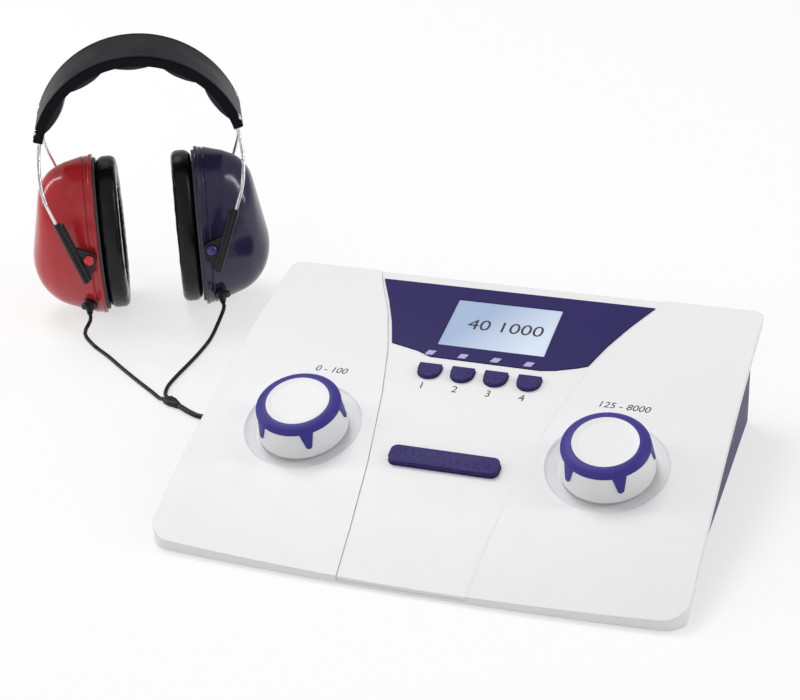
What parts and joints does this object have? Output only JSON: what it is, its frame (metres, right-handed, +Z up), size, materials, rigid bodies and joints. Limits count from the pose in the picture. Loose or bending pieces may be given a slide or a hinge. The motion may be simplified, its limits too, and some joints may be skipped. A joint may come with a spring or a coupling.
{
  "type": "audiometer",
  "caption": "Table-top hearing-test console with two dished dial knobs, keys, a tone bar and a display, and an ear-cup headset on sprung wires with its cord plugged in.",
  "frame": {"origin": "on the table, under the middle of the box round the console and the headset, the cord left out", "axes": "+X to the right along the console's front, +Y to the rear, +Z up"},
  "size_m": [0.459, 0.3265, 0.1696],
  "materials": {
    "white_shell": "satin moulded",
    "indigo_shell": "fine moulded grain",
    "indigo_key": "fine moulded grain",
    "violet_grip": "soft-touch",
    "lilac_lens": "clear tinted",
    "display_glass": "gloss",
    "display_frame": "matte",
    "steel": "drawn",
    "plated_steel": "polished",
    "circuit_board": "lacquered",
    "switch_black": "matte",
    "foot_rubber": "matte",
    "band_black": "satin",
    "pad_vinyl": "padded vinyl",
    "slider_black": "gloss",
    "red_cup": "satin moulded",
    "navy_cup": "satin moulded",
    "red_button": "gloss",
    "blue_button": "gloss",
    "cushion_vinyl": "gloss vinyl",
    "receiver_grey": "matte",
    "cord_black": "satin"
  },
  "bodies": {
    "console": {"lower_case": "indigo_shell", "top_cover": "white_shell", "center_fascia": "white_shell", "display_bezel": "indigo_shell", "display_window": "display_glass", "display_module": "display_frame", "indicator_lenses": "lilac_lens", "encoders": "steel", "main_board": "circuit_board", "key_switches": "switch_black", "rubber_feet": "foot_rubber", "case_screws": "steel", "phone_sockets": "switch_black", "power_socket": "switch_black", "left_cord": "cord_black", "right_cord": "cord_black", "cord_yoke": "cord_black", "main_cord": "cord_black", "cord_coil": "cord_black", "tail_cord": "cord_black", "plug_body": "slider_black", "plug_pin": "plated_steel"},
    "key_1": {"key_1": "indigo_key"},
    "key_2": {"key_2": "indigo_key"},
    "key_3": {"key_3": "indigo_key"},
    "key_4": {"key_4": "indigo_key"},
    "tone_bar": {"tone_bar": "indigo_key"},
    "level_dial": {"level_knob": "white_shell", "level_grip": "violet_grip", "level_shaft": "steel"},
    "tone_dial": {"tone_knob": "white_shell", "tone_grip": "violet_grip", "tone_shaft": "steel"},
    "headset": {"band_shell": "band_black", "band_pad": "pad_vinyl", "front_wire": "plated_steel", "rear_wire": "plated_steel"},
    "left_carriage": {"left_sliders": "slider_black"},
    "left_ear": {"left_cup": "red_cup", "left_plate": "receiver_grey", "left_cushion": "cushion_vinyl", "left_receiver": "receiver_grey", "left_pivot_caps": "red_button", "left_grommet": "cord_black"},
    "right_carriage": {"right_sliders": "slider_black"},
    "right_ear": {"right_cup": "navy_cup", "right_plate": "receiver_grey", "right_cushion": "cushion_vinyl", "right_receiver": "receiver_grey", "right_pivot_caps": "blue_button", "right_grommet": "cord_black"}
  },
  "joints": [
    {"name": "key_1_press", "type": "slide", "parent": "console", "child": "key_1", "axis": [0, 0.2305, -0.9731], "range_m": [0, 0.0012], "stiffness_N_per_m": 700, "springref_m": -0.0008},
    {"name": "key_2_press", "type": "slide", "parent": "console", "child": "key_2", "axis": [0, 0.2305, -0.9731], "range_m": [0, 0.0012], "stiffness_N_per_m": 700, "springref_m": -0.0008},
    {"name": "key_3_press", "type": "slide", "parent": "console", "child": "key_3", "axis": [0, 0.2305, -0.9731], "range_m": [0, 0.0012], "stiffness_N_per_m": 700, "springref_m": -0.0008},
    {"name": "key_4_press", "type": "slide", "parent": "console", "child": "key_4", "axis": [0, 0.2305, -0.9731], "range_m": [0, 0.0012], "stiffness_N_per_m": 700, "springref_m": -0.0008},
    {"name": "tone_bar_press", "type": "slide", "parent": "console", "child": "tone_bar", "axis": [0, 0.2305, -0.9731], "range_m": [0, 0.0012], "stiffness_N_per_m": 700, "springref_m": -0.0008},
    {"name": "level_turn", "type": "hinge", "parent": "console", "child": "level_dial", "pos_m": [0.0146, -0.0798, 0.03584], "axis": [0, -0.2945, 0.9556], "continuous": true},
    {"name": "tone_turn", "type": "hinge", "parent": "console", "child": "tone_dial", "pos_m": [0.1746, -0.0798, 0.03584], "axis": [0, -0.2945, 0.9556], "continuous": true},
    {"name": "headset_lift", "type": "slide", "parent": "console", "child": "headset", "axis": [0, 0, 1], "range_m": [0, 0.12]},
    {"name": "left_size_slide", "type": "slide", "parent": "headset", "child": "left_carriage", "axis": [-0.2926, -0.1427, 0.9455], "range_m": [0, 0.01]},
    {"name": "left_ear_tilt", "type": "hinge", "parent": "left_carriage", "child": "left_ear", "pos_m": [-0.19224, 0.08594, 0.04992], "axis": [-0.4384, 0.8988, 0], "range_deg": [-8, 8]},
    {"name": "right_size_slide", "type": "slide", "parent": "headset", "child": "right_carriage", "axis": [0.2926, 0.1427, 0.9455], "range_m": [0, 0.01]},
    {"name": "right_ear_tilt", "type": "hinge", "parent": "right_carriage", "child": "right_ear", "pos_m": [-0.12556, 0.11846, 0.04992], "axis": [-0.4384, 0.8988, 0], "range_deg": [-8, 8]}
  ]
}
